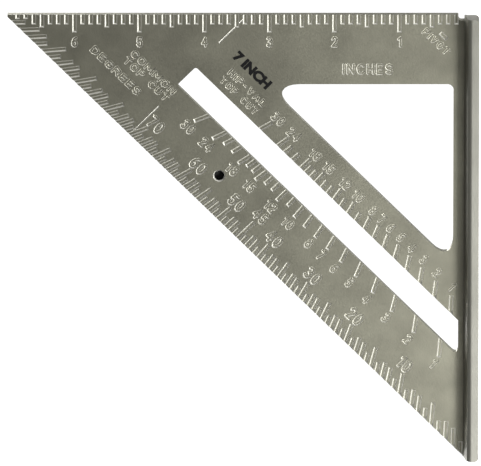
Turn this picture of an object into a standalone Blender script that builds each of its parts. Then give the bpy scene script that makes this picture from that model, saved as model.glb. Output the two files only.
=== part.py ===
"""Speed square: a triangular aluminium rafter square with a fence along one leg.

The square stands on its fence. The origin is under the middle of the fence, +Z runs up
the scale edge, +X runs along the fence to the pivot corner, and the scales face -Y.
Places on the blade are given by two distances: out from the fence's inner side, and in
from the scale edge.
"""

import math

import bmesh
import bpy
from mathutils import Vector

INCH = 0.0254
GAP = 0.0003  # clearance where the tongue lies in the groove
ARC_STEPS = 6
HOLE_STEPS = 32

# Blade
LEG = 0.1795  # fence to tip, and pivot corner to lower corner
TIP_WIDTH = 0.0009  # flat left on the sharp corner at the tip
BLADE_THICKNESS = 0.0032
TONGUE_THICKNESS = 0.0020
TONGUE_DEPTH = 0.0030

# Window near the pivot corner, a triangle with two sides parallel to the legs
WINDOW_FROM_FENCE = 0.0042
WINDOW_FROM_SCALE = 0.0281
WINDOW_DIAGONAL = 0.10585
WINDOW_SQUARE_RADIUS = 0.0023
WINDOW_SHARP_RADIUS = 0.0037

# Slot parallel to the long edge
SLOT_FROM_FENCE = 0.00216
SLOT_INNER_DIAGONAL = 0.1262
SLOT_OUTER_DIAGONAL = 0.1408
SLOT_END = 0.0839  # from fence less from scale edge, along the slot's square end
SLOT_SQUARE_RADIUS = 0.0010
SLOT_SHARP_RADIUS = 0.0015
SLOT_BLUNT_RADIUS = 0.0008

# Blind hole
HOLE_FROM_FENCE = 0.0959
HOLE_FROM_SCALE = 0.0652
HOLE_RADIUS = 0.00195
HOLE_RIM_RADIUS = 0.0024
HOLE_DEPTH = 0.0026

# Pivot notch, where the scale edge meets the fence
NOTCH_WIDTH = 0.0024
NOTCH_DEPTH = 0.0023

# Fence
FENCE_WIDTH = 0.0202
FENCE_ROOT_THICKNESS = 0.0057
FENCE_EDGE_THICKNESS = 0.0043
FENCE_CORNER_RADIUS = 0.0007
FENCE_LIP_RADIUS = 0.0017  # outer corners of the lips, on the blade's side
FENCE_FLAT = 0.0004  # flat beside the groove
BACK_LIP_MITRE = 0.0030  # the back lip's pivot end slopes away by this much at its outer edge

# Graduations
PIVOT_IN_FENCE = 0.0019  # the scales' common centre, on the line of the scale edge
TICK_WIDTH = 0.0014
TICK_DEPTH = 0.0004
INCH_DIVISIONS = 8
INCH_TICKS = (0.0071, 0.0051, 0.0039)  # inch, half inch, eighth
TIP_TICK = 0.0017  # the last two eighths, cut short by the degree scale
TICKS_TO_TIP = 55
LAST_DEGREE = 89
DEGREE_TICKS = (0.0071, 0.0035, 0.0054, 0.0054, 0.0035)  # by degrees past a multiple of 5
MITRE_TICK = 0.0094  # the 45 degree mark
COMMON_TICKS = (0.0057, 0.0042)  # long, short
HIP_TICKS = (0.0053, 0.0038)
RAFTER_RISES = (30, 24, 22, 20, 18, 17, 16, 15, 14, 13, 12, 11, 10, 9, 8, 7, 6, 5, 4, 3, 2, 1)
COMMON_SHORT = (22, 20, 17, 16, 14, 13, 11)
HIP_SHORT = COMMON_SHORT + (9,)
COMMON_RUN = 12.0
HIP_RUN = COMMON_RUN * math.sqrt(2.0)

SCALE_EDGE_X = LEG / 2
FENCE_FACE_Z = FENCE_ROOT_THICKNESS
FRONT_Y = -BLADE_THICKNESS / 2
PAST = 0.002  # how far a cutter runs past the wall that it cuts


def clear_scene():
    for obj in list(bpy.data.objects):
        bpy.data.objects.remove(obj, do_unlink=True)


def metal(name, color, roughness):
    material = bpy.data.materials.new(name)
    material.use_nodes = True
    shader = material.node_tree.nodes["Principled BSDF"]
    shader.inputs["Base Color"].default_value = (*color, 1.0)
    shader.inputs["Metallic"].default_value = 1.0
    shader.inputs["Roughness"].default_value = roughness
    return material


def on_blade(from_fence, from_scale, y=0.0):
    """The point of the model at these two distances on the blade."""
    return Vector((SCALE_EDGE_X - from_scale, y, FENCE_FACE_Z + from_fence))


def rounded(corners):
    """An outline with an arc at each corner, from (from_fence, from_scale, radius) corners."""
    outline = []
    count = len(corners)
    for i, (a, b, radius) in enumerate(corners):
        corner = Vector((a, b))
        before = (Vector(corners[i - 1][:2]) - corner).normalized()
        after = (Vector(corners[(i + 1) % count][:2]) - corner).normalized()
        if radius == 0.0:
            outline.append(corner)
            continue
        half = before.angle(after) / 2
        centre = corner + (before + after).normalized() * radius / math.sin(half)
        start = corner + before * radius / math.tan(half) - centre
        end = corner + after * radius / math.tan(half) - centre
        sweep = start.angle_signed(end)
        for step in range(ARC_STEPS + 1):
            turn = -sweep * step / ARC_STEPS
            cos, sin = math.cos(turn), math.sin(turn)
            spoke = Vector((start.x * cos - start.y * sin, start.x * sin + start.y * cos))
            outline.append(centre + spoke)
    return outline


def add_object(name, bm, material=None):
    """Turns the mesh's faces outwards and puts it in the scene; a piece without material is a cutter."""
    bmesh.ops.recalc_face_normals(bm, faces=bm.faces)
    mesh = bpy.data.meshes.new(name)
    bm.to_mesh(mesh)
    bm.free()
    obj = bpy.data.objects.new(name, mesh)
    bpy.context.scene.collection.objects.link(obj)
    if material:
        mesh.materials.append(material)
    else:
        obj.hide_render = True
        obj.display_type = "WIRE"
    return obj


def add_prism(bm, points, along):
    """A closed solid: the flat outline through these points, extruded along a vector."""
    face = bm.faces.new([bm.verts.new(point) for point in points])
    new = bmesh.ops.extrude_face_region(bm, geom=[face])["geom"]
    moved = [item for item in new if isinstance(item, bmesh.types.BMVert)]
    bmesh.ops.translate(bm, verts=moved, vec=along)


def blade_prism(name, outline, low_y, high_y, material=None):
    bm = bmesh.new()
    points = [on_blade(a, b, low_y) for a, b in outline]
    add_prism(bm, points, Vector((0.0, high_y - low_y, 0.0)))
    return add_object(name, bm, material)


def combine(obj, other, operation):
    modifier = obj.modifiers.new(other.name, "BOOLEAN")
    modifier.operation = operation
    modifier.solver = "EXACT"
    modifier.object = other


def hole_cutter():
    """The hole's bore and its chamfer, as one turned solid along Y."""
    chamfer = HOLE_RIM_RADIUS - HOLE_RADIUS
    profile = (
        (HOLE_RIM_RADIUS + PAST, FRONT_Y - PAST),
        (HOLE_RADIUS, FRONT_Y + chamfer),
        (HOLE_RADIUS, FRONT_Y + HOLE_DEPTH),
    )
    centre = on_blade(HOLE_FROM_FENCE, HOLE_FROM_SCALE)
    bm = bmesh.new()
    rings = []
    for radius, y in profile:
        ring = []
        for step in range(HOLE_STEPS):
            turn = 2 * math.pi * step / HOLE_STEPS
            spoke = Vector((radius * math.cos(turn), y, radius * math.sin(turn)))
            ring.append(bm.verts.new(centre + spoke))
        rings.append(ring)
    for low, high in zip(rings, rings[1:]):
        for i in range(HOLE_STEPS):
            after = (i + 1) % HOLE_STEPS
            bm.faces.new((low[i], low[after], high[after], high[i]))
    bm.faces.new(rings[0])
    bm.faces.new(rings[-1])
    return add_object("hole_cutter", bm)


def notch_cutter():
    radius = NOTCH_WIDTH / 2
    outline = [Vector((0.0, -PAST)), Vector((NOTCH_WIDTH, -PAST))]
    for step in range(2 * ARC_STEPS + 1):
        turn = math.pi * step / (2 * ARC_STEPS)
        a = radius + radius * math.cos(turn)
        b = NOTCH_DEPTH - radius + radius * math.sin(turn)
        outline.append(Vector((a, b)))
    return blade_prism("notch_cutter", outline, FRONT_Y - PAST, -FRONT_Y + PAST)


def groove(bm, start, end):
    """One tick's cutter, from a place just off the edge to the tick's end."""
    side = (end - start).orthogonal().normalized() * TICK_WIDTH / 2
    outline = (start - side, end - side, end + side, start + side)
    points = [on_blade(a, b, FRONT_Y - PAST) for a, b in outline]
    add_prism(bm, points, Vector((0.0, PAST + TICK_DEPTH, 0.0)))


def inch_cutter():
    """Ticks in from the scale edge, every eighth of an inch from the fence to the tip."""
    bm = bmesh.new()
    for count in range(1, TICKS_TO_TIP + 1):
        from_fence = count * INCH / INCH_DIVISIONS
        if count > TICKS_TO_TIP - 2:
            length = TIP_TICK
        elif count % INCH_DIVISIONS == 0:
            length = INCH_TICKS[0]
        elif count % (INCH_DIVISIONS // 2) == 0:
            length = INCH_TICKS[1]
        else:
            length = INCH_TICKS[2]
        groove(bm, Vector((from_fence, -PAST)), Vector((from_fence, length)))
    return add_object("inch_cutter", bm)


def ray_tick(bm, angle, diagonal, depth):
    """A tick on a line from the pivot, starting at a diagonal edge; depth is square to that edge."""
    ray = Vector((math.sin(angle), math.cos(angle)))
    pivot = Vector((-PIVOT_IN_FENCE, 0.0))
    edge = (diagonal - pivot.x - pivot.y) / (ray.x + ray.y)
    slant = math.cos(angle - math.pi / 4)
    off = math.copysign(PAST, depth)
    groove(bm, pivot + ray * (edge - off), pivot + ray * (edge + depth / slant))


def degree_cutter():
    bm = bmesh.new()
    for degree in range(1, LAST_DEGREE + 1):
        depth = MITRE_TICK if degree == 45 else DEGREE_TICKS[degree % len(DEGREE_TICKS)]
        ray_tick(bm, math.radians(degree), LEG, -depth)
    return add_object("degree_cutter", bm)


def rafter_cutter(name, run, short_rises, ticks, diagonal, way):
    """Ticks at the slope of each rise over the run, from one edge of the slot."""
    bm = bmesh.new()
    for rise in RAFTER_RISES:
        depth = ticks[1] if rise in short_rises else ticks[0]
        ray_tick(bm, math.atan2(rise, run), diagonal, way * depth)
    return add_object(name, bm)


def window_cutter():
    corners = (
        (WINDOW_FROM_FENCE, WINDOW_FROM_SCALE, WINDOW_SQUARE_RADIUS),
        (WINDOW_DIAGONAL - WINDOW_FROM_SCALE, WINDOW_FROM_SCALE, WINDOW_SHARP_RADIUS),
        (WINDOW_FROM_FENCE, WINDOW_DIAGONAL - WINDOW_FROM_FENCE, WINDOW_SHARP_RADIUS),
    )
    return blade_prism("window_cutter", rounded(corners), FRONT_Y - PAST, -FRONT_Y + PAST)


def slot_cutter():
    inner_end = (SLOT_INNER_DIAGONAL + SLOT_END) / 2
    outer_end = (SLOT_OUTER_DIAGONAL + SLOT_END) / 2
    corners = (
        (SLOT_FROM_FENCE, SLOT_INNER_DIAGONAL - SLOT_FROM_FENCE, SLOT_BLUNT_RADIUS),
        (inner_end, inner_end - SLOT_END, SLOT_SQUARE_RADIUS),
        (outer_end, outer_end - SLOT_END, SLOT_SQUARE_RADIUS),
        (SLOT_FROM_FENCE, SLOT_OUTER_DIAGONAL - SLOT_FROM_FENCE, SLOT_SHARP_RADIUS),
    )
    return blade_prism("slot_cutter", rounded(corners), FRONT_Y - PAST, -FRONT_Y + PAST)


def make_blade():
    """The triangular plate with its tongue, openings and sunk graduations."""
    plate = (
        (GAP, 0.0),
        (LEG - TIP_WIDTH, 0.0),
        (LEG - TIP_WIDTH, TIP_WIDTH),
        (GAP, LEG - GAP),
    )
    tongue = (
        (-TONGUE_DEPTH, 0.0),
        (2 * GAP, 0.0),
        (2 * GAP, LEG - 2 * GAP),
        (-TONGUE_DEPTH, LEG - 2 * GAP),
    )
    aluminium = metal("blade_metal", (0.42, 0.41, 0.36), 0.45)
    blade = blade_prism("blade", plate, FRONT_Y, -FRONT_Y, aluminium)
    half_tongue = TONGUE_THICKNESS / 2
    combine(blade, blade_prism("tongue_shape", tongue, -half_tongue, half_tongue), "UNION")
    cutters = (
        window_cutter(),
        slot_cutter(),
        hole_cutter(),
        notch_cutter(),
        inch_cutter(),
        degree_cutter(),
        rafter_cutter("common_cutter", COMMON_RUN, COMMON_SHORT, COMMON_TICKS, SLOT_OUTER_DIAGONAL, 1),
        rafter_cutter("hip_cutter", HIP_RUN, HIP_SHORT, HIP_TICKS, SLOT_INNER_DIAGONAL, -1),
    )
    for cutter in cutters:
        combine(blade, cutter, "DIFFERENCE")


def fence_section():
    """The fence's outline across its length, as (y, z, radius) corners."""
    half = FENCE_WIDTH / 2
    groove_half = TONGUE_THICKNESS / 2 + GAP
    groove_floor = FENCE_ROOT_THICKNESS - TONGUE_DEPTH - GAP
    flat = BLADE_THICKNESS / 2 + FENCE_FLAT
    return rounded(
        (
            (-half, 0.0, FENCE_CORNER_RADIUS),
            (half, 0.0, FENCE_CORNER_RADIUS),
            (half, FENCE_EDGE_THICKNESS, FENCE_LIP_RADIUS),
            (flat, FENCE_ROOT_THICKNESS, 0.0),
            (groove_half, FENCE_ROOT_THICKNESS, 0.0),
            (groove_half, groove_floor, 0.0),
            (-groove_half, groove_floor, 0.0),
            (-groove_half, FENCE_ROOT_THICKNESS, 0.0),
            (-flat, FENCE_ROOT_THICKNESS, 0.0),
            (-half, FENCE_EDGE_THICKNESS, FENCE_LIP_RADIUS),
        )
    )


def mitre_cutter():
    """A wedge off the back lip's end, from the blade's back to the lip's outer edge and past it."""
    back_y = -FRONT_Y + FENCE_FLAT
    slope = BACK_LIP_MITRE / (FENCE_WIDTH / 2 - back_y)
    outer_y = FENCE_WIDTH / 2 + PAST
    outline = (
        (SCALE_EDGE_X, back_y),
        (SCALE_EDGE_X + PAST, back_y),
        (SCALE_EDGE_X + PAST, outer_y),
        (SCALE_EDGE_X - slope * (outer_y - back_y), outer_y),
    )
    bm = bmesh.new()
    points = [Vector((x, y, -PAST)) for x, y in outline]
    add_prism(bm, points, Vector((0.0, 0.0, FENCE_ROOT_THICKNESS + 2 * PAST)))
    return add_object("mitre_cutter", bm)


def make_fence():
    """The bar that hooks over a board's edge, with the groove that holds the blade."""
    bm = bmesh.new()
    points = [Vector((-SCALE_EDGE_X, y, z)) for y, z in fence_section()]
    add_prism(bm, points, Vector((LEG, 0.0, 0.0)))
    fence = add_object("fence", bm, metal("fence_metal", (0.46, 0.45, 0.40), 0.42))
    combine(fence, mitre_cutter(), "DIFFERENCE")


clear_scene()
make_blade()
make_fence()
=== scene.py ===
"""Rafter square of cast aluminium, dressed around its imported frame."""

import math

import bpy
from mathutils import Matrix, Vector


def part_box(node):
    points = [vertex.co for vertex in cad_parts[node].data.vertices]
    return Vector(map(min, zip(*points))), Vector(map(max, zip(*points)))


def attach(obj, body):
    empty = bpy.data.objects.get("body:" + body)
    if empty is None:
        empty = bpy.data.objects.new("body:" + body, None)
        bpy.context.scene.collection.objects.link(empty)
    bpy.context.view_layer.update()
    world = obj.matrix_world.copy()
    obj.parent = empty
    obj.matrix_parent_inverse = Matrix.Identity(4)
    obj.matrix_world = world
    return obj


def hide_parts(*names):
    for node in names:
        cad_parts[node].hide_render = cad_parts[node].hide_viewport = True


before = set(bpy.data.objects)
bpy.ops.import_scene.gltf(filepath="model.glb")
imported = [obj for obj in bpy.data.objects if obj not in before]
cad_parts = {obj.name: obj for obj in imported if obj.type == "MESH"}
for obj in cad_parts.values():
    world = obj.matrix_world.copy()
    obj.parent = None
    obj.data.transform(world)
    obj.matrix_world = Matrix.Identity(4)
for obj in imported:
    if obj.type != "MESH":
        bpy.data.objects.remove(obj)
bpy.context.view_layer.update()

bpy.ops.object.select_all(action="DESELECT")


# ---------------------------------------------------------------- Blade plate
# The flat triangular web of the square, one thin aluminium die casting. The
# window and the slot are cast through it, a small hole is sunk in its face,
# and tumbling has rounded every edge a little.
blade_low, blade_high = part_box("blade")
fence_low, fence_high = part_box("fence")
SCALE_X = blade_high.x
FENCE_Z = fence_high.z
FRONT = blade_low.y
BACK = blade_high.y
LEG = 0.1795
TIP_WIDTH = 0.0009
ROOT_DEPTH = 0.0020  # how far the plate runs down inside the fence
LOW_CORNER_CUT = 0.0006  # flat left on the sharp corner at the fence's far end
PAST = 0.002  # how far a cutter runs past the face that it cuts
EDGE_ROUND = 0.00035


def on_blade(from_fence, from_scale, y=0.0):
    """The place on the blade this far out from the fence and in from the scale edge."""
    return Vector((SCALE_X - from_scale, y, FENCE_Z + from_fence))


def use_only(obj):
    bpy.ops.object.select_all(action="DESELECT")
    obj.select_set(True)
    bpy.context.view_layer.objects.active = obj


def block(name, corner, opposite):
    """A solid block between two corners, left in edit mode."""
    bpy.ops.object.select_all(action="DESELECT")
    size = opposite - corner
    bpy.ops.mesh.primitive_cube_add(
        size=1.0,
        location=(corner + opposite) / 2,
        scale=(abs(size.x), abs(size.y), abs(size.z)),
    )
    obj = bpy.context.object
    obj.name = name
    bpy.ops.object.transform_apply(location=True, rotation=True, scale=True)
    bpy.ops.object.mode_set(mode="EDIT")
    return obj


def slice_off(point, outward):
    bpy.ops.mesh.select_all(action="SELECT")
    bpy.ops.mesh.bisect(
        plane_co=point,
        plane_no=outward.normalized(),
        use_fill=True,
        clear_outer=True,
        threshold=0.000001,
    )


def blade_line(diagonal):
    """A place on the line where the two distances add up to this."""
    return on_blade(diagonal, 0.0)


# Square to the long edge, away from the pivot corner, and along it towards the tip.
OUT_OF_CORNER = Vector((-1.0, 0.0, 1.0)).normalized()
ALONG_SLOT = Vector((1.0, 0.0, 1.0)).normalized()


def round_corner(obj, place, radius, angle):
    """Rounds the corner at this place, whose two sides meet at this angle in degrees."""
    bpy.ops.mesh.select_mode(type="EDGE")
    bpy.ops.mesh.select_all(action="DESELECT")
    bpy.ops.object.mode_set(mode="OBJECT")
    spots = obj.data.vertices
    for edge in obj.data.edges:
        ends = [spots[i].co for i in edge.vertices]
        edge.select = all(math.hypot(end.x - place.x, end.z - place.z) < 1e-5 for end in ends)
    bpy.ops.object.mode_set(mode="EDIT")
    bpy.ops.mesh.bevel(
        offset=radius / math.tan(math.radians(angle) / 2), segments=8, affect="EDGES"
    )


def carve(obj, cutter, operation="DIFFERENCE"):
    """Cuts one closed shape out of another, or adds it, and clears the tool away."""
    use_only(obj)
    modifier = obj.modifiers.new("carve", "BOOLEAN")
    modifier.operation = operation
    modifier.solver = "MANIFOLD"
    modifier.object = cutter
    bpy.ops.object.modifier_apply(modifier=modifier.name)
    bpy.data.objects.remove(cutter, do_unlink=True)


blade = block("blade_plate", on_blade(-ROOT_DEPTH, 0.0, FRONT), on_blade(LEG, LEG, BACK))
slice_off(blade_line(LEG), OUT_OF_CORNER)
slice_off(on_blade(LEG - TIP_WIDTH, 0.0), Vector((0.0, 0.0, 1.0)))
slice_off(on_blade(0.0, LEG - LOW_CORNER_CUT), Vector((-1.0, 0.0, 0.0)))
bpy.ops.object.mode_set(mode="OBJECT")

WINDOW_FROM_FENCE = 0.0042
WINDOW_FROM_SCALE = 0.0281
WINDOW_DIAGONAL = 0.10585
WINDOW_SQUARE_ROUND = 0.0023
WINDOW_TIP_ROUND = 0.0055
WINDOW_LOW_ROUND = 0.0048
window = block(
    "window",
    on_blade(WINDOW_FROM_FENCE, WINDOW_FROM_SCALE, FRONT - PAST),
    on_blade(WINDOW_DIAGONAL, WINDOW_DIAGONAL, BACK + PAST),
)
slice_off(blade_line(WINDOW_DIAGONAL), OUT_OF_CORNER)
square_corner = on_blade(WINDOW_FROM_FENCE, WINDOW_FROM_SCALE)
tip_corner = on_blade(WINDOW_DIAGONAL - WINDOW_FROM_SCALE, WINDOW_FROM_SCALE)
low_corner = on_blade(WINDOW_FROM_FENCE, WINDOW_DIAGONAL - WINDOW_FROM_FENCE)
round_corner(window, square_corner, WINDOW_SQUARE_ROUND, 90)
round_corner(window, tip_corner, WINDOW_TIP_ROUND, 45)
round_corner(window, low_corner, WINDOW_LOW_ROUND, 45)
bpy.ops.object.mode_set(mode="OBJECT")
carve(blade, window)

SLOT_FROM_FENCE = 0.00216
SLOT_INNER = 0.1262
SLOT_OUTER = 0.1408
SLOT_END = 0.0839
SLOT_BLUNT_ROUND = 0.0008
SLOT_SHARP_ROUND = 0.0015
SLOT_END_ROUND = 0.0010
slot = block(
    "slot",
    on_blade(SLOT_FROM_FENCE, 0.0, FRONT - PAST),
    on_blade(LEG, LEG, BACK + PAST),
)
slice_off(blade_line(SLOT_OUTER), OUT_OF_CORNER)
slice_off(blade_line(SLOT_INNER), -OUT_OF_CORNER)
slice_off(on_blade(SLOT_END, 0.0), ALONG_SLOT)
inner_end = (SLOT_INNER + SLOT_END) / 2
outer_end = (SLOT_OUTER + SLOT_END) / 2
blunt_corner = on_blade(SLOT_FROM_FENCE, SLOT_INNER - SLOT_FROM_FENCE)
sharp_corner = on_blade(SLOT_FROM_FENCE, SLOT_OUTER - SLOT_FROM_FENCE)
round_corner(slot, blunt_corner, SLOT_BLUNT_ROUND, 135)
round_corner(slot, sharp_corner, SLOT_SHARP_ROUND, 45)
round_corner(slot, on_blade(inner_end, inner_end - SLOT_END), SLOT_END_ROUND, 90)
round_corner(slot, on_blade(outer_end, outer_end - SLOT_END), SLOT_END_ROUND, 90)
bpy.ops.object.mode_set(mode="OBJECT")
carve(blade, slot)

HOLE = on_blade(0.0959, 0.0652)
HOLE_RADIUS = 0.00195
HOLE_RIM_RADIUS = 0.0024
HOLE_DEPTH = 0.0026


def turned(name, radius, other_radius, y, other_y):
    """A round tool across the blade, with a radius at each of its two depths."""
    bpy.ops.object.select_all(action="DESELECT")
    bpy.ops.mesh.primitive_cone_add(
        vertices=48,
        radius1=radius,
        radius2=other_radius,
        depth=other_y - y,
        location=(HOLE.x, (y + other_y) / 2, HOLE.z),
        rotation=(-math.pi / 2, 0.0, 0.0),
    )
    obj = bpy.context.object
    obj.name = name
    bpy.ops.object.transform_apply(location=True, rotation=True, scale=True)
    return obj


carve(blade, turned("bore", HOLE_RADIUS, HOLE_RADIUS, FRONT - PAST, FRONT + HOLE_DEPTH))
rim = HOLE_RIM_RADIUS - HOLE_RADIUS
carve(blade, turned("rim", HOLE_RIM_RADIUS + rim, HOLE_RADIUS, FRONT - rim, FRONT + rim))

NOTCH_WIDTH = 0.0024
NOTCH_DEPTH = 0.0023
NOTCH_ROUND = 0.0012
notch = block(
    "notch",
    on_blade(-PAST, -PAST, FRONT - PAST),
    on_blade(NOTCH_WIDTH, NOTCH_DEPTH, BACK + PAST),
)
round_corner(notch, on_blade(NOTCH_WIDTH, NOTCH_DEPTH), NOTCH_ROUND, 90)
bpy.ops.object.mode_set(mode="OBJECT")
carve(blade, notch)

use_only(blade)
soften = blade.modifiers.new("soften", "BEVEL")
soften.width = EDGE_ROUND
soften.segments = 4
soften.limit_method = "ANGLE"
soften.angle_limit = math.radians(35)
bpy.ops.object.modifier_apply(modifier=soften.name)


# ---------------------------------------------------------------- Inch scale
# Eighth-inch graduations sunk in from the scale edge, with a number at each
# inch. All the graduations are grooves of one width with sloping walls.
INCH = 0.0254
TICK_WIDTH = 0.00175
TICK_FLOOR = 0.0008
TICK_DEPTH = 0.00042
TICKS_TO_TIP = 55
INCH_TICK = 0.0071
HALF_TICK = 0.0051
EIGHTH_TICK = 0.0039
TIP_TICK = 0.0017  # the last two eighths, cut short by the degree scale
OUTWARD = Vector((0.0, -1.0, 0.0))


def punch(sides, width, floor, depth):
    """A tool with its flat tip this deep below the face, tapering from this width at the face."""
    bpy.ops.object.select_all(action="DESELECT")
    taper = (width - floor) / depth
    round_trip = 2 * math.cos(math.pi / sides)
    bpy.ops.mesh.primitive_cone_add(
        vertices=sides,
        radius1=floor / round_trip,
        radius2=(floor + 2 * depth * taper) / round_trip,
        depth=2 * depth,
        rotation=(0.0, 0.0, math.pi / sides),
    )
    bpy.ops.object.transform_apply(location=True, rotation=True, scale=True)
    return bpy.context.object


def pass_of(tool, start, end, outward=OUTWARD):
    """One straight pass of the tool, from start to end."""
    run = tool.copy()
    run.data = tool.data.copy()
    bpy.context.scene.collection.objects.link(run)
    along = end - start
    for vertex in run.data.vertices:
        if vertex.co.x > 0.0:
            vertex.co.x += along.length
    along.normalize()
    turn = Matrix((along, outward.cross(along), outward)).transposed().to_4x4()
    run.matrix_world = Matrix.Translation(start) @ turn
    return run


def joined(pieces, name):
    use_only(pieces[0])
    for piece in pieces:
        piece.select_set(True)
    if len(pieces) > 1:
        bpy.ops.object.join()
    bpy.ops.object.transform_apply(location=True, rotation=True, scale=True)
    pieces[0].name = name
    return pieces[0]


tick_tool = punch(4, TICK_WIDTH, TICK_FLOOR, TICK_DEPTH)
passes = []
for count in range(1, TICKS_TO_TIP + 1):
    out = count * INCH / 8
    if count > TICKS_TO_TIP - 2:
        length = TIP_TICK
    elif count % 8 == 0:
        length = INCH_TICK
    elif count % 4 == 0:
        length = HALF_TICK
    else:
        length = EIGHTH_TICK
    off_edge = on_blade(out, -PAST, FRONT)
    end = on_blade(out, length - TICK_WIDTH / 2, FRONT)
    passes.append(pass_of(tick_tool, off_edge, end))
carve(blade, joined(passes, "inch_cuts"))


def arc(x, y, wide, high, start, end, steps=8):
    """Points on an ellipse, between two angles in degrees."""
    turns = [math.radians(start + (end - start) * i / steps) for i in range(steps + 1)]
    return [(x + wide * math.cos(turn), y + high * math.sin(turn)) for turn in turns]


P_STROKE = [(0.0, 0.0), (0.0, 1.0)] + arc(0.6, 0.74, 0.4, 0.26, 90, -90, 6) + [(0.0, 0.48)]

# Each character's width beside its height, and its strokes on a square from 0 to 1.
STROKES = {
    "0": (0.47, [arc(0.5, 0.5, 0.5, 0.5, 90, 450, 14)]),
    "1": (0.22, [[(0.0, 0.8), (1.0, 1.0), (1.0, 0.0)]]),
    "2": (0.46, [arc(0.5, 0.72, 0.48, 0.28, 165, -35, 7) + [(0.0, 0.0), (1.0, 0.0)]]),
    "3": (
        0.46,
        [
            arc(0.46, 0.76, 0.46, 0.24, 150, -90, 7),
            arc(0.46, 0.27, 0.54, 0.27, 90, -150, 8),
        ],
    ),
    "4": (0.50, [[(0.72, 0.0), (0.72, 1.0), (0.0, 0.3), (1.0, 0.3)]]),
    "5": (
        0.46,
        [[(0.92, 1.0), (0.14, 1.0), (0.06, 0.55)] + arc(0.48, 0.32, 0.52, 0.32, 125, -150, 8)],
    ),
    "6": (0.47, [arc(0.5, 0.3, 0.5, 0.3, 180, 540, 12), arc(1.0, 0.3, 1.0, 0.7, 180, 98, 6)]),
    "7": (0.45, [[(0.0, 1.0), (1.0, 1.0), (0.35, 0.0)]]),
    "8": (
        0.47,
        [arc(0.5, 0.77, 0.42, 0.23, 270, 630, 11), arc(0.5, 0.27, 0.5, 0.27, 90, 450, 12)],
    ),
    "9": (0.47, [arc(0.5, 0.7, 0.5, 0.3, 0, 360, 12), arc(0.0, 0.7, 1.0, 0.7, 0, -82, 6)]),
    "A": (0.55, [[(0.0, 0.0), (0.5, 1.0), (1.0, 0.0)], [(0.2, 0.35), (0.8, 0.35)]]),
    "C": (0.50, [arc(0.55, 0.5, 0.55, 0.5, 40, 320, 10)]),
    "D": (0.50, [[(0.0, 0.0), (0.0, 1.0)] + arc(0.35, 0.5, 0.65, 0.5, 90, -90, 7) + [(0.0, 0.0)]]),
    "E": (0.42, [[(1.0, 0.0), (0.0, 0.0), (0.0, 1.0), (1.0, 1.0)], [(0.0, 0.52), (0.85, 0.52)]]),
    "G": (0.52, [arc(0.55, 0.5, 0.55, 0.5, 45, 330, 10) + [(1.0, 0.45), (0.6, 0.45)]]),
    "H": (0.48, [[(0.0, 0.0), (0.0, 1.0)], [(1.0, 0.0), (1.0, 1.0)], [(0.0, 0.5), (1.0, 0.5)]]),
    "I": (0.0, [[(0.0, 0.0), (0.0, 1.0)]]),
    "L": (0.40, [[(0.0, 1.0), (0.0, 0.0), (1.0, 0.0)]]),
    "M": (0.66, [[(0.0, 0.0), (0.0, 1.0), (0.5, 0.3), (1.0, 1.0), (1.0, 0.0)]]),
    "N": (0.50, [[(0.0, 0.0), (0.0, 1.0), (1.0, 0.0), (1.0, 1.0)]]),
    "O": (0.55, [arc(0.5, 0.5, 0.5, 0.5, 90, 450, 14)]),
    "P": (0.46, [P_STROKE]),
    "R": (0.48, [P_STROKE, [(0.5, 0.48), (1.0, 0.0)]]),
    "S": (0.46, [arc(0.5, 0.74, 0.48, 0.26, 30, 250, 7) + arc(0.5, 0.25, 0.5, 0.25, 70, -150, 7)]),
    "T": (0.50, [[(0.0, 1.0), (1.0, 1.0)], [(0.5, 1.0), (0.5, 0.0)]]),
    "U": (0.48, [[(0.0, 1.0), (0.0, 0.35)] + arc(0.5, 0.3, 0.5, 0.3, 180, 360, 7) + [(1.0, 1.0)]]),
    "V": (0.52, [[(0.0, 1.0), (0.5, 0.0), (1.0, 1.0)]]),
    "-": (0.30, [[(0.0, 0.48), (1.0, 0.48)]]),
    " ": (0.30, []),
}
INCH_NUMBER_DOWN = 0.0110
INCH_NUMBER_TALL = 0.0046
LETTER_GAP = 0.00045
LETTER_DEPTH = 0.00035
LETTER_FLOOR = 0.45  # the flat bottom of a stroke, as a share of its width
READ_LEVEL = Vector((0.0, 0.0, -1.0)), Vector((1.0, 0.0, 0.0))
READ_SLANT = (
    Vector((-1.0, 0.0, -1.0)).normalized(),
    Vector((1.0, 0.0, -1.0)).normalized(),
)
letters = {}


def stroke_width(height):
    """Small letters are cut bolder for their height than large ones."""
    return 0.15 * height + 0.00045


def letter(character, height, stretch):
    """The cutter of one character, made once for each height and width and copied."""
    if (character, height, stretch) not in letters:
        wide, strokes = STROKES[character]
        wide *= stretch
        stroke_wide = stroke_width(height)
        tall = height - stroke_wide
        letter_tool = punch(8, stroke_wide, LETTER_FLOOR * stroke_wide, LETTER_DEPTH)
        runs = []
        for stroke in strokes:
            points = [Vector((x * wide * tall, y * tall, 0.0)) for x, y in stroke]
            runs += [
                pass_of(letter_tool, a, b, Vector((0.0, 0.0, 1.0)))
                for a, b in zip(points, points[1:])
            ]
        whole = joined(runs[:1], "letter_" + character)
        for run in runs[1:]:
            carve(whole, joined([run], "stroke"), "UNION")
        bpy.data.objects.remove(letter_tool, do_unlink=True)
        letters[character, height, stretch] = whole
    return letters[character, height, stretch]


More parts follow.
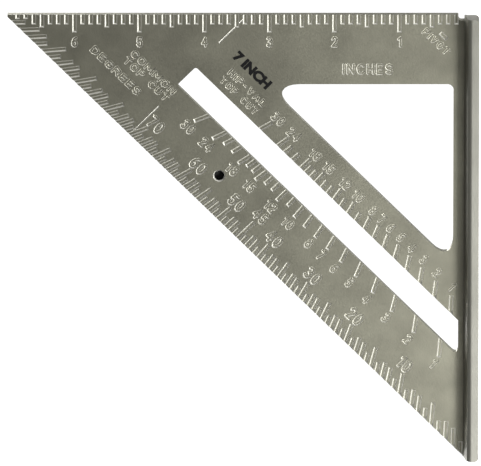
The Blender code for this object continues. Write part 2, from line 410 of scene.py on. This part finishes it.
def lettering(text, centre, height, reading, length=None):
    """Cutters of a word with its middle at this place; a length widens its letters to fill it."""
    along, upright = reading
    tall = height - stroke_width(height)
    widths = [STROKES[character][0] * tall for character in text]
    gap = stroke_width(height) + LETTER_GAP
    stretch = 1.0
    if length is not None:
        stretch = (length - stroke_width(height) - gap * (len(text) - 1)) / sum(widths)
        widths = [width * stretch for width in widths]
    place = -(sum(widths) + gap * (len(text) - 1)) / 2
    outward = along.cross(upright)
    frame_of = Matrix((along, upright, outward)).transposed().to_4x4()
    cutters = []
    for character, width in zip(text, widths):
        if character != " ":
            cutter = letter(character, height, stretch).copy()
            cutter.data = cutter.data.copy()
            bpy.context.scene.collection.objects.link(cutter)
            start = centre + along * place - upright * tall / 2
            cutter.matrix_world = Matrix.Translation(start) @ frame_of
            cutters.append(cutter)
        place += width + gap
    return cutters


cuts = []
for number in range(1, 7):
    centre = on_blade(number * INCH, INCH_NUMBER_DOWN, FRONT)
    cuts += lettering(str(number), centre, INCH_NUMBER_TALL, READ_LEVEL)
carve(blade, joined(cuts, "inch_numbers"))


# ---------------------------------------------------------------- Degree scale
# Graduations along the long edge, each on a line from the pivot. Every tenth
# degree from 10 to 70 is numbered, and 45 has a longer mark of its own.
PIVOT = Vector((-0.0019, 0.0))
DEGREE_TICKS = (0.0071, 0.0035, 0.0054, 0.0054, 0.0035)  # by degrees past a multiple of 5
LAST_DEGREE = 89
DEGREE_NUMBER_IN = 0.0101  # from the long edge to the middle of the numbers
DEGREE_NUMBER_TALL = 0.0056
MITRE_TICK = 0.0094
MITRE_NUMBER_IN = 0.0127
MITRE_NUMBER_TALL = 0.0050
ROOT2 = math.sqrt(2.0)


def on_ray(angle, diagonal):
    """Where the line from the pivot at this angle crosses a line parallel to the long edge."""
    ray = Vector((math.sin(angle), math.cos(angle)))
    return PIVOT + ray * (diagonal - PIVOT.x - PIVOT.y) / (ray.x + ray.y)


def ray_pass(angle, diagonal, depth):
    """A graduation in from an edge; depth is square to the edge, and below 0 towards the pivot."""
    ray = Vector((math.sin(angle), math.cos(angle)))
    edge = on_ray(angle, diagonal)
    way = math.copysign(1.0, depth)
    reach = abs(depth) / math.cos(angle - math.pi / 4) - TICK_WIDTH / 2
    start = edge - ray * way * PAST
    end = edge + ray * way * reach
    return pass_of(
        tick_tool,
        on_blade(start.x, start.y, FRONT),
        on_blade(end.x, end.y, FRONT),
    )


passes = []
for degree in range(1, LAST_DEGREE + 1):
    depth = MITRE_TICK if degree == 45 else DEGREE_TICKS[degree % len(DEGREE_TICKS)]
    passes.append(ray_pass(math.radians(degree), LEG, -depth))
carve(blade, joined(passes, "degree_cuts"))

cuts = []
for degree in (10, 20, 30, 40, 50, 60, 70):
    place = on_ray(math.radians(degree), LEG - DEGREE_NUMBER_IN * ROOT2)
    centre = on_blade(place.x, place.y, FRONT)
    cuts += lettering(str(degree), centre, DEGREE_NUMBER_TALL, READ_SLANT)
place = on_ray(math.radians(45), LEG - MITRE_NUMBER_IN * ROOT2)
centre = on_blade(place.x, place.y, FRONT)
cuts += lettering("45", centre, MITRE_NUMBER_TALL, READ_SLANT)
cuts += lettering("DEGREES", on_blade(0.1363, 0.0226, FRONT), 0.00345, READ_SLANT, 0.0263)
carve(blade, joined(cuts, "degree_numbers"))


# ---------------------------------------------------------------- Rafter scales
# Two scales of roof slopes, one along each side of the slot. A slope is a rise
# for each foot of run, and the hip scale uses a run longer by the root of two.
RISES = (30, 24, 22, 20, 18, 17, 16, 15, 14, 13, 12, 11, 10, 9, 8, 7, 6, 5, 4, 3, 2, 1)
COMMON_SHORT = (22, 20, 17, 16, 14, 13, 11)
HIP_SHORT = COMMON_SHORT + (9,)
NUMBERED = (30, 24, 18, 15, 12, 10, 8, 7, 6, 5, 4, 3, 2, 1)
RUN = 12.0
COMMON_TICKS = (0.0057, 0.0042)  # long, short
HIP_TICKS = (0.0053, 0.0038)
COMMON_NUMBERS = LEG - 0.0184 * ROOT2  # the lines that the numbers stand on
HIP_NUMBERS = 0.1150
COMMON_TALL = 0.0046
HIP_TALL = 0.0044
COMMON_LEAN = 0.0036  # for each radian away from 45 degrees

for run, short, ticks, diagonal, way, label_diagonal, height, lean in (
    (RUN, COMMON_SHORT, COMMON_TICKS, SLOT_OUTER, 1, COMMON_NUMBERS, COMMON_TALL, COMMON_LEAN),
    (RUN * ROOT2, HIP_SHORT, HIP_TICKS, SLOT_INNER, -1, HIP_NUMBERS, HIP_TALL, 0.0),
):
    passes = []
    cuts = []
    for rise in RISES:
        angle = math.atan2(rise, run)
        depth = ticks[1] if rise in short else ticks[0]
        passes.append(ray_pass(angle, diagonal, way * depth))
        if rise in NUMBERED:
            place = on_ray(angle, label_diagonal)
            # Numbers low on the scale stand further towards the tip than their marks do.
            aside = READ_SLANT[0] * lean * (angle - math.pi / 4)
            centre = on_blade(place.x, place.y, FRONT) + aside
            cuts += lettering(str(rise), centre, height, READ_SLANT)
    carve(blade, joined(passes, "rafter_cuts"))
    carve(blade, joined(cuts, "rafter_numbers"))

# Each word, its middle out from the fence and in from the scale edge, its
# height and its length.
cuts = []
for text, out, down, height, length in (
    ("COMMON", 0.1216, 0.0233, 0.0034, 0.0236),
    ("TOP CUT", 0.1244, 0.0260, 0.0034, 0.0236),
    ("HIP-VAL", 0.0849, 0.0296, 0.0033, 0.0198),
    ("TOP CUT", 0.0881, 0.0327, 0.0033, 0.0198),
    ("PIVOT", 0.0111, 0.0108, 0.0035, 0.0135),
):
    cuts += lettering(text, on_blade(out, down, FRONT), height, READ_SLANT, length)
pivot_bar = on_blade(0.0089, 0.0079, FRONT), on_blade(0.0075, 0.0093, FRONT)
cuts.append(pass_of(tick_tool, *pivot_bar))
cuts += lettering("INCHES", on_blade(0.0378, 0.0220, FRONT), 0.0047, READ_LEVEL, 0.0200)
carve(blade, joined(cuts, "words"))

# Two lines scribed across the face at a slant.
SCRIBE_WIDTH = 0.0006
SCRIBE_FLOOR = 0.0001
SCRIBE_DEPTH = 0.00015
scribe = punch(4, SCRIBE_WIDTH, SCRIBE_FLOOR, SCRIBE_DEPTH)
scratches = [
    pass_of(scribe, on_blade(*start, FRONT), on_blade(*end, FRONT))
    for start, end in (
        ((0.0850, 0.0005), (0.0957, 0.0112)),
        ((0.1196, 0.0372), (0.1303, 0.0479)),
    )
]
carve(blade, joined(scratches, "scratches"))

for tool in [tick_tool, scribe] + list(letters.values()):
    bpy.data.objects.remove(tool, do_unlink=True)

use_only(blade)
bpy.ops.object.shade_smooth_by_angle(angle=math.radians(25))
even = blade.modifiers.new("even", "WEIGHTED_NORMAL")
even.keep_sharp = True
bpy.ops.object.modifier_apply(modifier=even.name)


# ---------------------------------------------------------------- Blade finish
# The casting is left bare. Its face has dulled and is slightly mottled, the
# sloped walls of its sunk marks and edges have a painted highlight, and the
# small hole's walls and floor are painted near black as shade.
FACE_DARK = (0.215, 0.21, 0.166)
FACE_LIGHT = (0.295, 0.289, 0.228)
# The colour painted on the sloped walls of marks and edges as a highlight.
FACE_PAINTED_HIGHLIGHT = (0.84, 0.83, 0.76)
FACE_ROUGH = (0.40, 0.52)


def wire(tree, pairs):
    for start, end in pairs:
        tree.links.new(start, end)


def cast_group():
    """Grain and mottle of a tumbled aluminium casting, and a mask of its sloped faces for a
    painted highlight.
    """
    tree = bpy.data.node_groups.new("cast_surface", "ShaderNodeTree")
    face = tree.interface
    face.new_socket("Grain Scale", in_out="INPUT", socket_type="NodeSocketFloat")
    face.new_socket("Mottle Scale", in_out="INPUT", socket_type="NodeSocketFloat")
    face.new_socket("Grain", in_out="OUTPUT", socket_type="NodeSocketFloat")
    face.new_socket("Mottle", in_out="OUTPUT", socket_type="NodeSocketFloat")
    face.new_socket("Painted Highlight", in_out="OUTPUT", socket_type="NodeSocketFloat")
    nodes = tree.nodes
    inputs = nodes.new("NodeGroupInput")
    outputs = nodes.new("NodeGroupOutput")
    coords = nodes.new("ShaderNodeTexCoord")
    grain = nodes.new("ShaderNodeTexNoise")
    grain.inputs["Detail"].default_value = 6.0
    grain.inputs["Roughness"].default_value = 0.65
    mottle = nodes.new("ShaderNodeTexNoise")
    mottle.inputs["Detail"].default_value = 4.0
    lie = nodes.new("ShaderNodeNewGeometry")
    facing = nodes.new("ShaderNodeSeparateXYZ")
    level = nodes.new("ShaderNodeMath")
    level.operation = "ABSOLUTE"
    # Faces sloping between the blade's plane and square to it are masked for a painted highlight.
    highlight_ramp = nodes.new("ShaderNodeValToRGB")
    ramp = highlight_ramp.color_ramp
    ramp.elements[0].position = 0.10
    ramp.elements[0].color = (0.0, 0.0, 0.0, 1.0)
    ramp.elements[1].position = 0.985
    ramp.elements[1].color = (0.0, 0.0, 0.0, 1.0)
    for position in (0.30, 0.95):
        ramp.elements.new(position).color = (1.0, 1.0, 1.0, 1.0)
    wire(
        tree,
        (
            (lie.outputs["True Normal"], facing.inputs[0]),
            (facing.outputs["Y"], level.inputs[0]),
            (level.outputs[0], highlight_ramp.inputs["Fac"]),
            (highlight_ramp.outputs["Color"], outputs.inputs["Painted Highlight"]),
            (coords.outputs["Object"], grain.inputs["Vector"]),
            (coords.outputs["Object"], mottle.inputs["Vector"]),
            (inputs.outputs["Grain Scale"], grain.inputs["Scale"]),
            (inputs.outputs["Mottle Scale"], mottle.inputs["Scale"]),
            (grain.outputs["Fac"], outputs.inputs["Grain"]),
            (mottle.outputs["Fac"], outputs.inputs["Mottle"]),
        ),
    )
    return tree


cast_surface = cast_group()


def cast_metal(name, dark, light, painted_highlight, roughness):
    material = bpy.data.materials.new(name)
    material.use_nodes = True
    tree = material.node_tree
    nodes = tree.nodes
    shader = nodes["Principled BSDF"]
    shader.inputs["Metallic"].default_value = 1.0
    surface = nodes.new("ShaderNodeGroup")
    surface.node_tree = cast_surface
    surface.inputs["Grain Scale"].default_value = 1400.0
    surface.inputs["Mottle Scale"].default_value = 55.0
    tint = nodes.new("ShaderNodeMix")
    tint.data_type = "RGBA"
    tint.inputs[6].default_value = (*dark, 1.0)
    tint.inputs[7].default_value = (*light, 1.0)
    # Sloped faces take a painted highlight colour in place of the mottled tint.
    highlight_mix = nodes.new("ShaderNodeMix")
    highlight_mix.data_type = "RGBA"
    highlight_mix.inputs[7].default_value = (*painted_highlight, 1.0)
    spread = nodes.new("ShaderNodeMapRange")
    spread.inputs["From Min"].default_value = 0.3
    spread.inputs["From Max"].default_value = 0.7
    gloss = nodes.new("ShaderNodeMapRange")
    gloss.inputs["From Min"].default_value = 0.3
    gloss.inputs["From Max"].default_value = 0.7
    gloss.inputs["To Min"].default_value = roughness[0]
    gloss.inputs["To Max"].default_value = roughness[1]
    bump = nodes.new("ShaderNodeBump")
    bump.inputs["Strength"].default_value = 0.5
    bump.inputs["Distance"].default_value = 0.00008
    wire(
        tree,
        (
            (surface.outputs["Mottle"], spread.inputs["Value"]),
            (spread.outputs["Result"], tint.inputs[0]),
            (surface.outputs["Painted Highlight"], highlight_mix.inputs[0]),
            (tint.outputs[2], highlight_mix.inputs[6]),
            (highlight_mix.outputs[2], shader.inputs["Base Color"]),
            (surface.outputs["Grain"], gloss.inputs["Value"]),
            (gloss.outputs["Result"], shader.inputs["Roughness"]),
            (surface.outputs["Grain"], bump.inputs["Height"]),
            (bump.outputs["Normal"], shader.inputs["Normal"]),
        ),
    )
    return material


blade.data.materials.clear()
blade.data.materials.append(
    cast_metal("blade_casting", FACE_DARK, FACE_LIGHT, FACE_PAINTED_HIGHLIGHT, FACE_ROUGH)
)
# The hole's walls and floor are painted near black as shade.
bore_shade = bpy.data.materials.new("painted_shade_bore")
bore_shade.use_nodes = True
shader = bore_shade.node_tree.nodes["Principled BSDF"]
shader.inputs["Base Color"].default_value = (0.01, 0.01, 0.009, 1.0)
shader.inputs["Roughness"].default_value = 0.8
blade.data.materials.append(bore_shade)
for facet in blade.data.polygons:
    away = math.hypot(facet.center.x - HOLE.x, facet.center.z - HOLE.z)
    if away < HOLE_RADIUS + 0.00002 and facet.center.y > FRONT + 0.0002:
        facet.material_index = 1
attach(blade, "root")
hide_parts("blade")


# ---------------------------------------------------------------- Fence
# The bar along the short leg that hooks over a board's edge. It is cast with
# the blade, and its lips slope a little towards their outer edges.
FENCE_EDGE = 0.0043
FRONT_MITRE = 0.0037  # how far the pivot end slopes away, from the blade's face to the back
ROOT_FILLET = 0.0003
ROOT_SINK = 0.00005  # how far the fillets start inside the plate's faces
LIP_ROUND = 0.0005
LIP_TOP_ROUND = 0.0017
END_ROUND = 0.0014
FENCE_DARK = (0.34, 0.335, 0.295)
FENCE_LIGHT = (0.39, 0.385, 0.34)
# A painted highlight on the fence's slopes, kept close to its own tone so that it hardly shows.
FENCE_PAINTED_HIGHLIGHT = (0.36, 0.355, 0.31)
FENCE_ROUGH = (0.40, 0.52)
fence = block(
    "fence_bar",
    Vector((-SCALE_X, fence_low.y, 0.0)),
    Vector((SCALE_X, fence_high.y, FENCE_Z + ROOT_FILLET)),
)
drop = FENCE_Z - FENCE_EDGE
reach = fence_high.y - BACK
slice_off(on_blade(0.0, 0.0, FRONT), Vector((fence_high.y - FRONT, FRONT_MITRE, 0.0)))
bpy.ops.object.mode_set(mode="OBJECT")
for face, way in ((BACK, 1.0), (FRONT, -1.0)):
    root = face - way * ROOT_SINK
    slope = drop / (reach + ROOT_SINK)
    lip = block(
        "lip_top",
        Vector((-SCALE_X - PAST, root, FENCE_Z)),
        Vector((SCALE_X + PAST, root + way * (reach + PAST), FENCE_Z + 2 * ROOT_FILLET)),
    )
    bpy.ops.mesh.select_mode(type="EDGE")
    bpy.ops.mesh.select_all(action="DESELECT")
    bpy.ops.object.mode_set(mode="OBJECT")
    for vertex in lip.data.vertices:
        if abs(vertex.co.y - root) > 0.001 and vertex.co.z < FENCE_Z + 0.0001:
            vertex.co.z -= slope * (reach + PAST)
    for edge in lip.data.edges:
        ends = [lip.data.vertices[i].co for i in edge.vertices]
        edge.select = all(abs(end.y - root) < 1e-5 and end.z < FENCE_Z + 1e-5 for end in ends)
    bpy.ops.object.mode_set(mode="EDIT")
    bpy.ops.mesh.bevel(offset=ROOT_FILLET, segments=6, affect="EDGES")
    bpy.ops.mesh.select_all(action="SELECT")
    bpy.ops.mesh.normals_make_consistent(inside=False)
    bpy.ops.object.mode_set(mode="OBJECT")
    carve(fence, lip)
notch = block(
    "notch",
    on_blade(0.0, -PAST, FRONT - PAST),
    on_blade(NOTCH_WIDTH, NOTCH_DEPTH, BACK + PAST),
)
bpy.ops.object.mode_set(mode="OBJECT")
carve(fence, notch)
use_only(fence)
bpy.ops.object.mode_set(mode="EDIT")
bpy.ops.mesh.select_mode(type="EDGE")
bpy.ops.mesh.select_all(action="DESELECT")
bpy.ops.object.mode_set(mode="OBJECT")
for edge in fence.data.edges:
    ends = [fence.data.vertices[i].co for i in edge.vertices]
    edge.select = all(
        abs(abs(end.y) - fence_high.y) < 1e-5 and abs(end.z - FENCE_EDGE) < 1e-4 for end in ends
    )
bpy.ops.object.mode_set(mode="EDIT")
bpy.ops.mesh.bevel(offset=LIP_TOP_ROUND, segments=6, affect="EDGES")
bpy.ops.object.mode_set(mode="OBJECT")
bpy.ops.object.mode_set(mode="EDIT")
bpy.ops.mesh.select_all(action="DESELECT")
bpy.ops.object.mode_set(mode="OBJECT")
for edge in fence.data.edges:
    ends = [fence.data.vertices[i].co for i in edge.vertices]
    edge.select = abs(ends[0].y - ends[1].y) > 0.002 and all(
        end.z < 1e-5 and abs(end.x) > SCALE_X - 0.006 for end in ends
    )
bpy.ops.object.mode_set(mode="EDIT")
bpy.ops.mesh.bevel(offset=END_ROUND, segments=5, affect="EDGES")
bpy.ops.object.mode_set(mode="OBJECT")
soften = fence.modifiers.new("soften", "BEVEL")
soften.width = LIP_ROUND
soften.segments = 3
soften.limit_method = "ANGLE"
soften.angle_limit = math.radians(35)
bpy.ops.object.modifier_apply(modifier=soften.name)
bpy.ops.object.shade_smooth_by_angle(angle=math.radians(40))
even = fence.modifiers.new("even", "WEIGHTED_NORMAL")
even.keep_sharp = True
bpy.ops.object.modifier_apply(modifier=even.name)
fence.data.materials.clear()
fence.data.materials.append(
    cast_metal("fence_casting", FENCE_DARK, FENCE_LIGHT, FENCE_PAINTED_HIGHLIGHT, FENCE_ROUGH)
)
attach(fence, "root")
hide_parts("fence")


# ---------------------------------------------------------------- Size print
# The size of the square, printed in black ink on the face beside the slot.
PRINT_TALL = 0.0044
PRINT_LONG = 0.0185
PRINT_THICK = 0.00004
PRINT_BOLD = 0.0003
along, upright = READ_SLANT
bpy.ops.object.select_all(action="DESELECT")
bpy.ops.object.text_add(location=(0.0, 0.0, 0.0))
print_mark = bpy.context.object
print_mark.name = "size_print"
print_mark.data.body = "7 INCH"
print_mark.data.align_x = "CENTER"
print_mark.data.align_y = "CENTER"
print_mark.data.resolution_u = 4
print_mark.data.size = 0.005
print_mark.data.offset = PRINT_BOLD
print_mark.data.extrude = PRINT_THICK
use_only(print_mark)
bpy.ops.object.convert(target="MESH")
size = print_mark.dimensions.copy()
bpy.ops.object.mode_set(mode="EDIT")
bpy.ops.mesh.select_all(action="SELECT")
bpy.ops.mesh.remove_doubles(threshold=0.000001)
bpy.ops.transform.resize(value=(PRINT_LONG / size.x, PRINT_TALL / size.y, 1.0))
bpy.ops.object.mode_set(mode="OBJECT")
face = Matrix((along, upright, along.cross(upright))).transposed().to_4x4()
print_mark.matrix_world = Matrix.Translation(on_blade(0.0830, 0.0226, FRONT)) @ face
bpy.ops.object.transform_apply(location=True, rotation=True, scale=True)

ink = bpy.data.materials.new("black_ink")
ink.use_nodes = True
shader = ink.node_tree.nodes["Principled BSDF"]
shader.inputs["Roughness"].default_value = 0.7
shader.inputs["Specular IOR Level"].default_value = 0.15
shader.inputs["Base Color"].default_value = (0.006, 0.006, 0.006, 1.0)
print_mark.data.materials.append(ink)
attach(print_mark, "root")


# ---------------------------------------------------------------- Studio
# A plain pale floor, a white surround and soft lights, the strongest ones low
# and grazing the face so that the sunk marks stand out.
bpy.ops.object.select_all(action="DESELECT")
FLOOR_SIZE = 0.8
bpy.ops.mesh.primitive_plane_add(size=FLOOR_SIZE, location=(0.0, 0.0, 0.0))
floor = bpy.context.object
floor.name = "floor"
paper = bpy.data.materials.new("paper")
paper.use_nodes = True
shader = paper.node_tree.nodes["Principled BSDF"]
shader.inputs["Base Color"].default_value = (0.9, 0.9, 0.9, 1.0)
shader.inputs["Roughness"].default_value = 0.9
shader.inputs["Emission Color"].default_value = (1.0, 1.0, 1.0, 1.0)
# The paper glows only to the camera, so it stays white and lights nothing.
paper_path = paper.node_tree.nodes.new("ShaderNodeLightPath")
glow = paper.node_tree.nodes.new("ShaderNodeMath")
glow.operation = "MULTIPLY"
glow.inputs[1].default_value = 0.9
wire(
    paper.node_tree,
    (
        (paper_path.outputs["Is Camera Ray"], glow.inputs[0]),
        (glow.outputs[0], shader.inputs["Emission Strength"]),
    ),
)
floor.data.materials.append(paper)
floor.visible_shadow = False

world = bpy.data.worlds.new("studio")
world.use_nodes = True
bpy.context.scene.world = world
tree = world.node_tree
background = tree.nodes["Background"]
background.inputs["Color"].default_value = (0.19, 0.19, 0.19, 1.0)
seen = tree.nodes.new("ShaderNodeBackground")
seen.inputs["Color"].default_value = (1.0, 1.0, 1.0, 1.0)
seen.inputs["Strength"].default_value = 1.1
path = tree.nodes.new("ShaderNodeLightPath")
choose = tree.nodes.new("ShaderNodeMixShader")
wire(
    tree,
    (
        (path.outputs["Is Camera Ray"], choose.inputs[0]),
        (background.outputs[0], choose.inputs[1]),
        (seen.outputs[0], choose.inputs[2]),
        (choose.outputs[0], tree.nodes["World Output"].inputs["Surface"]),
    ),
)


def area_light(name, place, aim, size, power):
    bpy.ops.object.select_all(action="DESELECT")
    bpy.ops.object.light_add(type="AREA", location=place)
    light = bpy.context.object
    light.name = name
    light.data.size = size
    light.data.energy = power
    light.visible_camera = False
    light.rotation_euler = (Vector(aim) - Vector(place)).to_track_quat("-Z", "Y").to_euler()


MIDDLE = Vector((0.0, 0.0, 0.09))
LOW_CORNER = Vector((-0.04, 0.0, 0.035))
area_light("key", (-0.25, -0.45, -0.30), MIDDLE, 0.15, 3.4)
area_light("low", (0.10, -0.25, -0.35), MIDDLE, 0.25, 1.3)
area_light("above", (0.85, -0.30, 0.14), MIDDLE, 0.5, 0.6)
area_light("near", (-0.12, -0.20, -0.08), LOW_CORNER, 0.1, 0.20)
area_light("behind", (0.3, 0.8, 0.5), MIDDLE, 0.6, 9.0)
area_light("behind_low", (-0.6, 0.6, 0.3), MIDDLE, 0.6, 6.0)

TILT = math.radians(15.5)
DISTANCE = 8.0
VIEW_WIDTH = 0.188504
look = Vector((-math.sin(TILT), math.cos(TILT), 0.0))
top = Vector((math.cos(TILT), math.sin(TILT), 0.0))
side = look.cross(top)
camera_data = bpy.data.cameras.new("camera")
camera_data.sensor_width = 36.0
camera_data.lens = 36.0 * DISTANCE / VIEW_WIDTH
camera_data.clip_start = 0.1
camera_data.clip_end = 100.0
camera = bpy.data.objects.new("camera", camera_data)
bpy.context.scene.collection.objects.link(camera)
VIEW_CENTRE = Vector((0.00127, FRONT, 0.09325))
stand = VIEW_CENTRE - look * DISTANCE
camera.matrix_world = Matrix.Translation(stand) @ Matrix((side, top, -look)).transposed().to_4x4()
bpy.context.scene.camera = camera
bpy.context.scene.view_settings.view_transform = "Standard"
